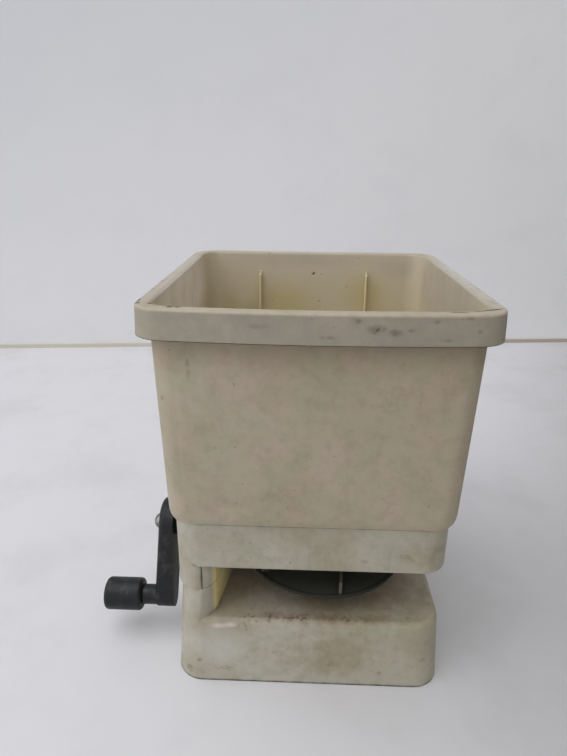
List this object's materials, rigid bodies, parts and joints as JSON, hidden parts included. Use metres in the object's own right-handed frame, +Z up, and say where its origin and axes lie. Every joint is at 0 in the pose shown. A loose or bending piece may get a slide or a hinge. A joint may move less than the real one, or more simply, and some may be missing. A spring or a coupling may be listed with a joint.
{
  "type": "hand spreader",
  "caption": "Hand-cranked seed and salt spreader: square hopper over a gear housing, side crank, and a throwing disc in an open bay above a hollow base.",
  "frame": {"origin": "middle of the base's underside, on the ground", "axes": "+Z up through the hopper's mouth, +Y towards the handle at the back, crank on the -X side, throwing bay open to -Y and +X"},
  "size_m": [0.2239, 0.2411, 0.2355],
  "materials": {
    "cream_plastic": "moulded, slightly worn",
    "cool_plastic": "moulded, slightly worn",
    "black_plastic": "moulded, satin",
    "steel": "plain zinc plated",
    "brass": "machined"
  },
  "bodies": {
    "housing": {"hopper": "cream_plastic", "gear_housing": "cool_plastic", "gear_cover": "cool_plastic", "base": "cool_plastic", "handle_left": "cream_plastic", "handle_right": "cream_plastic", "handle_clamp_screws": "steel", "handle_mount_screws": "steel", "hopper_screws": "steel", "cover_screws": "steel", "base_screws": "steel", "crank_bushing": "black_plastic", "inner_bushing": "black_plastic", "thrust_washer": "steel", "floor_bushing": "black_plastic"},
    "crank": {"crank_arm": "black_plastic", "crank_screw": "steel", "crank_washer": "steel", "crank_shaft": "steel", "drive_gear": "black_plastic", "drive_gear_pin": "steel", "knob_pin": "steel", "knob_retainer": "steel"},
    "knob": {"crank_knob": "black_plastic", "knob_cap": "black_plastic"},
    "disc": {"impeller": "black_plastic", "impeller_pin": "steel", "spindle": "steel", "spindle_clip": "steel", "pinion": "brass", "pinion_pin": "steel", "agitator": "black_plastic", "agitator_pin": "steel"},
    "gate": {"flow_gate": "black_plastic", "gate_tab": "black_plastic", "gate_tab_screw": "steel"}
  },
  "joints": [
    {"name": "crank_turn", "type": "hinge", "parent": "housing", "child": "crank", "pos_m": [0, -0.028, 0.0743], "axis": [1, 0, 0], "continuous": true},
    {"name": "knob_spin", "type": "hinge", "parent": "crank", "child": "knob", "pos_m": [-0.12, -0.04493, 0.02779], "axis": [1, 0, 0], "continuous": true},
    {"name": "disc_spin", "type": "hinge", "parent": "housing", "child": "disc", "pos_m": [0.0095, -0.028, 0], "axis": [0, 0, 1], "continuous": true},
    {"name": "gate_slide", "type": "slide", "parent": "housing", "child": "gate", "axis": [0, -1, 0], "range_m": [0, 0.022]}
  ],
  "couplings": [
    {"joint": "disc_spin", "follows": "crank_turn", "ratio": 2.6667}
  ]
}
